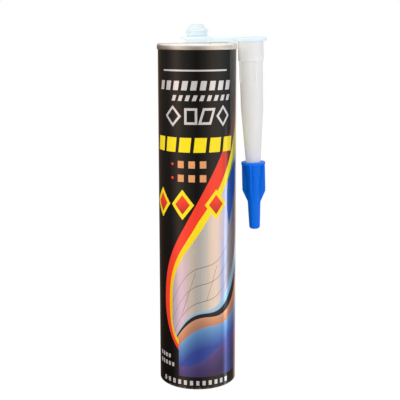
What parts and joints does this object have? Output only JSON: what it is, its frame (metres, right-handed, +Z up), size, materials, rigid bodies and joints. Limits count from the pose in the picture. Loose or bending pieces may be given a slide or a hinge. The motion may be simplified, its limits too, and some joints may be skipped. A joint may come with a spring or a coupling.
{
  "type": "caulk tube",
  "caption": "Round sealant cartridge with a crimped metal end, threaded spout, sliding piston, and a capped nozzle hung on a ring round the spout's neck.",
  "frame": {"origin": "on the tube's axis, in the plane of its open lower edge, which it stands on", "axes": "+Z up along the tube's axis towards the spout, +X towards the nozzle that hangs beside the tube, -Y towards the front of the label"},
  "size_m": [0.0686, 0.0502, 0.2283],
  "materials": {
    "tube_board": "wound board, uncoated edge",
    "film_black": "gloss printed film",
    "ink_red": "gloss print on foil",
    "ink_yellow": "gloss print on foil",
    "ink_green": "gloss print on foil",
    "ink_blue": "gloss print on foil",
    "ink_cyan": "gloss print on foil",
    "ink_violet": "gloss print on foil",
    "ink_orange": "gloss print on foil",
    "foil_silver": "bare bright foil",
    "tinplate": "bright pressed sheet",
    "spout_plastic": "satin translucent plastic",
    "sealant": "smooth paste",
    "piston_plastic": "satin",
    "nozzle_plastic": "satin translucent plastic",
    "cap_plastic": "satin translucent plastic"
  },
  "bodies": {
    "cartridge": {"tube_body": "tube_board", "label_film": "film_black", "ink_red": "ink_red", "ink_yellow": "ink_yellow", "ink_green": "ink_green", "ink_blue": "ink_blue", "ink_cyan": "ink_cyan", "ink_violet": "ink_violet", "ink_orange": "ink_orange", "ink_silver": "foil_silver", "top_end": "tinplate", "spout": "spout_plastic", "sealant_fill": "sealant"},
    "plunger": {"piston": "piston_plastic"},
    "hung_nozzle": {"nozzle": "nozzle_plastic"},
    "cap": {"nozzle_cap": "cap_plastic"}
  },
  "joints": [
    {"name": "piston_slide", "type": "slide", "parent": "cartridge", "child": "plunger", "axis": [0, 0, 1], "range_m": [0, 0.172], "deforming": ["sealant_fill"]},
    {"name": "nozzle_swivel", "type": "hinge", "parent": "cartridge", "child": "hung_nozzle", "pos_m": [0, 0, 0.2188], "axis": [0, 0, 1], "continuous": true},
    {"name": "cap_pull", "type": "slide", "parent": "hung_nozzle", "child": "cap", "axis": [0.0288, 0, -0.9996], "range_m": [0, 0.045]}
  ]
}
